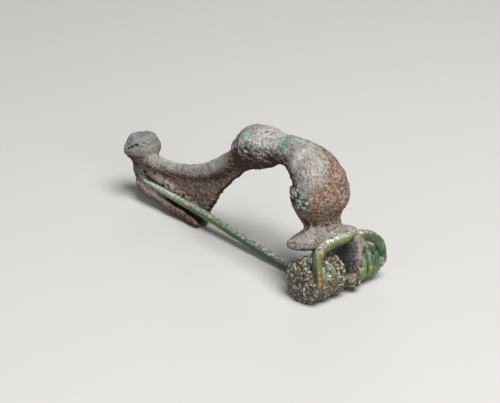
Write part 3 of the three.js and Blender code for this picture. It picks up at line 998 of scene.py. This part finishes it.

# %% [markdown]
# ## Patina of the casting
#
# Smooth stretches are light grey and crusty ones brown. Undersides are painted dark as shade, and the
# hook's tucked side near-black. Hollows are nearly black, and so are thin crevices and pinholes too small
# for the mesh. Over all of it lies a fine speckle, because the surface is made of grains.

# %% Patina of the casting
def casting_patina():
    f = Finish("bow_patina")
    browned, greened, crusted = f.painted("marks")
    pit, painted_shade_below, whitened = f.painted("tones")
    hook_shade_here, hook_here, pitted_here = f.painted("edges")
    darker_here, reddened_and_shaded_here, rim_shade_here = f.painted("wear")
    broad = f.between(f.noise(2.4, 5), 0.35, 0.65)
    speckle = f.between(f.noise(0.3, 4, 0.7), 0.34, 0.66)
    creviced = f.noise(0.45, 6, 0.75)
    reach = f.calc("MAXIMUM", pitted_here, f.calc("MULTIPLY", browned, 0.4))
    reach = f.calc("MULTIPLY", f.calc("MAXIMUM", reach, f.calc("MULTIPLY", rim_shade_here, 0.7)), 0.09)
    dark_line = f.between(f.calc("ADD", creviced, reach), 0.585, 0.625)
    gap, grain = f.cells(0.26)
    colour = f.mix(broad, (0.245, 0.22, 0.198), (0.4, 0.383, 0.362))
    earth = f.steps(grain, [
        (0.0, (0.12, 0.075, 0.053)), (0.5, (0.235, 0.16, 0.12)), (1.0, (0.35, 0.255, 0.2)),
    ])
    colour = f.mix(browned, colour, earth)
    turquoise = f.mix(broad, (0.12, 0.21, 0.19), (0.26, 0.38, 0.37))
    colour = f.mix(f.calc("MULTIPLY", greened, 0.6), colour, turquoise)
    clod_gap, clod = f.cells(0.5)
    thick_green = f.steps(clod, [
        (0.0, (0.26, 0.2, 0.15)), (0.4, (0.26, 0.38, 0.31)), (1.0, (0.5, 0.6, 0.53)),
    ])
    thick_green = f.mix(f.between(clod_gap, 0.4, 0.7), thick_green, (0.03, 0.045, 0.035))
    colour = f.mix(f.calc("MULTIPLY", crusted, 0.9), colour, thick_green)
    # Painted shade: undersides are darkened to a deep reddish brown.
    colour = f.mix(f.calc("MULTIPLY", painted_shade_below, 0.93), colour, (0.03, 0.0125, 0.01))
    # Darker on the foot and lip, and on the rim's side as painted shade.
    colour = f.mix(f.calc("MULTIPLY", darker_here, 0.8), colour, f.mix(0.65, colour, (0.06, 0.045, 0.04)))
    # Redder on the lip, and on undersides as part of their painted shade.
    redder = f.mix(1.0, colour, (1, 0.7, 0.6), "MULTIPLY")
    colour = f.mix(f.calc("MULTIPLY", reddened_and_shaded_here, 0.7), colour, redder)
    colour = f.mix(hook_here, colour, f.mix(broad, (0.17, 0.13, 0.105), (0.36, 0.34, 0.29)))
    # Painted shade: near-black on the tucked near side of the hook and lug.
    hook_shade_colour = f.mix(speckle, (0.012, 0.013, 0.015), (0.09, 0.088, 0.085))
    colour = f.mix(f.calc("MULTIPLY", hook_shade_here, 0.9), colour, hook_shade_colour)
    colour = f.mix(f.calc("MULTIPLY", dark_line, 0.7), colour, (0.05, 0.035, 0.028))
    colour = f.mix(0.55, colour, f.mix(speckle, (0.45, 0.43, 0.42), (1, 1, 1)), "MULTIPLY")
    pin_gap, pin_chance = f.cells(0.36)
    pinholes = f.calc("MULTIPLY", f.between(pin_gap, 0.3, 0.16), f.between(pin_chance, 0.62, 0.66))
    colour = f.mix(f.calc("MULTIPLY", pinholes, 0.6), colour, (0.06, 0.045, 0.038))
    colour = f.mix(whitened, colour, (0.6, 0.6, 0.6))
    # Dark soil in hollows, and painted shade in the open part of the gutter.
    colour = f.mix(f.calc("MULTIPLY", pit, 0.9), colour, (0.035, 0.025, 0.02))
    f.links.new(colour, f.shader.inputs["Base Color"])
    f.shader.inputs["Roughness"].default_value = 0.78
    f.shader.inputs["Specular IOR Level"].default_value = 0.25
    height = f.calc("ADD", f.noise(0.3, 5, 0.65), f.calc("MULTIPLY", gap, -0.5))
    height = f.calc("SUBTRACT", height, f.calc("MULTIPLY", f.calc("ADD", dark_line, pinholes), 0.5))
    f.bump(height, 0.16)
    return f.material


bow.data.materials.append(casting_patina())
print("the casting's finish has", len(bow.active_material.node_tree.nodes), "nodes")

# %% [markdown]
# ## Green of the wire, and its crust
#
# The wire is green, from yellow-olive on the chord to deep green in the far turns, and pale at the
# pin's point. The crust is sand: each grain is its own cell, black, grey, tan or white, and at the far
# end a whitish bloom lies over it.

# %% Green of the wire
def wire_patina():
    f = Finish("spring_patina")
    soiled_here, bare, tipward = f.painted("marks")
    pit, dust_and_highlight_here, deep = f.painted("tones")
    broad = f.between(f.noise(1.5, 5), 0.35, 0.65)
    speckle = f.between(f.noise(0.28, 4, 0.7), 0.38, 0.62)
    open_end, end_rim, turn_shade_here = f.painted("ends")
    gap, grain = f.cells(0.2)
    olive = f.mix(broad, (0.028, 0.042, 0.012), (0.11, 0.12, 0.04))
    green = f.mix(broad, (0.018, 0.07, 0.02), (0.1, 0.2, 0.08))
    colour = f.mix(deep, olive, green)
    along = f.mix(f.between(tipward, 0.35, 0.6), (0.034, 0.08, 0.034), (0.042, 0.115, 0.038))
    along = f.mix(f.between(tipward, 0.62, 0.9), along, (0.2, 0.24, 0.2))
    colour = f.mix(f.between(tipward, 0.0, 0.06), colour, along)
    # Dust and a painted highlight make faces turned up paler.
    pale = f.calc("MULTIPLY", f.calc("MULTIPLY", dust_and_highlight_here, speckle), 0.66)
    colour = f.mix(pale, colour, (0.5, 0.54, 0.44))
    colour = f.mix(f.calc("MULTIPLY", bare, 0.68), colour, (0.5, 0.2, 0.08))
    fleck = f.between(f.cells(0.3)[1], 0.88, 0.9)
    colour = f.mix(f.calc("MULTIPLY", fleck, f.calc("MULTIPLY", dust_and_highlight_here, 0.7)), colour, (0.6, 0.6, 0.52))
    # Painted shade: nearly black between the turns and on the near rim turn's outer side.
    colour = f.mix(f.calc("MULTIPLY", turn_shade_here, 0.85), colour, (0.01, 0.02, 0.01))
    colour = f.mix(end_rim, colour, f.mix(speckle, (0.05, 0.03, 0.02), (0.36, 0.2, 0.12)))
    colour = f.mix(open_end, colour, f.mix(speckle, (0.07, 0.07, 0.085), (0.16, 0.155, 0.18)))
    sand = f.steps(grain, [
        (0.0, (0.014, 0.013, 0.012)), (0.3, (0.045, 0.04, 0.028)), (0.52, (0.16, 0.12, 0.08)),
        (0.72, (0.28, 0.22, 0.16)), (0.92, (0.58, 0.56, 0.52)),
    ])
    clod_gap, clod = f.cells(0.55)
    clods = f.steps(clod, [(0.0, (0.5, 0.46, 0.4)), (0.5, (0.9, 0.8, 0.7)), (1.0, (1, 1, 1))])
    tint = f.steps(f.cells(0.31)[1], [
        (0.0, (1, 0.82, 0.62)), (0.35, (1, 1, 1)), (0.8, (0.72, 0.95, 0.92)),
    ])
    sand = f.mix(0.8, f.mix(0.9, sand, tint, "MULTIPLY"), clods, "MULTIPLY")
    sand = f.mix(f.calc("MULTIPLY", f.between(clod_gap, 0.45, 0.75), 0.8), sand, (0.02, 0.018, 0.015))
    sand = f.mix(f.calc("MULTIPLY", deep, f.calc("MULTIPLY", speckle, 0.5)), sand, (0.45, 0.42, 0.44))
    colour = f.mix(soiled_here, colour, sand)
    colour = f.mix(f.calc("MULTIPLY", pit, 0.8), colour, (0.02, 0.022, 0.018))
    f.links.new(colour, f.shader.inputs["Base Color"])
    f.shader.inputs["Roughness"].default_value = 0.5
    height = f.calc("ADD", f.noise(0.26, 4, 0.65), f.calc("MULTIPLY", gap, -0.6))
    f.bump(height, 0.09)
    return f.material


spring.data.materials.append(wire_patina())
print("the wire's finish has", len(spring.active_material.node_tree.nodes), "nodes")

# %% [markdown]
# ## Floor and light
#
# A plain pale floor and large soft lamps: the daylight comes from above on the head's side, as in the
# photograph, and weaker ones fill from the left, from the front and from behind. A single small lamp
# would cut hard shadows under the bow. The lamps are small in watts, because the brooch is small too.

# %% Floor
FLOOR = 1.5
floor_mesh = bpy.data.meshes.new("floor")
corners = [(-FLOOR, -FLOOR, 0), (FLOOR, -FLOOR, 0), (FLOOR, FLOOR, 0), (-FLOOR, FLOOR, 0)]
floor_mesh.from_pydata(corners, [], [(0, 1, 2, 3)])
floor = bpy.data.objects.new("floor", floor_mesh)
bpy.context.collection.objects.link(floor)
floor_finish = Finish("floor")
floor_finish.shader.inputs["Base Color"].default_value = (0.42, 0.41, 0.395, 1)
floor_finish.shader.inputs["Roughness"].default_value = 0.9
floor_mesh.materials.append(floor_finish.material)
print("the floor reaches", FLOOR, "m each way")

# %% Light
LAMPS = {
    "daylight": {"place": (0.22, -0.04, 0.42), "size": 0.25, "watts": 4.0},
    "fill": {"place": (0.1, -0.45, 0.3), "size": 0.3, "watts": 0.25},
    "front": {"place": (0.42, -0.12, 0.12), "size": 0.2, "watts": 0.8},
    "behind": {"place": (-0.3, 0.3, 0.2), "size": 0.2, "watts": 0.4},
}
for name, lamp in LAMPS.items():
    lamp_data = bpy.data.lights.new(name, "AREA")
    lamp_data.size = lamp["size"]
    lamp_data.energy = lamp["watts"]
    lamp_object = bpy.data.objects.new(name, lamp_data)
    lamp_object.location = lamp["place"]
    lamp_object.rotation_euler = Vector(lamp["place"]).to_track_quat("Z", "Y").to_euler()
    bpy.context.collection.objects.link(lamp_object)
world = bpy.data.worlds.new("world")
world.use_nodes = True
world.node_tree.nodes["Background"].inputs["Color"].default_value = (0.95, 0.97, 1, 1)
world.node_tree.nodes["Background"].inputs["Strength"].default_value = 0.12
bpy.context.scene.world = world
bpy.context.scene.view_settings.view_transform = "Standard"
print("lamps:", ", ".join(LAMPS))
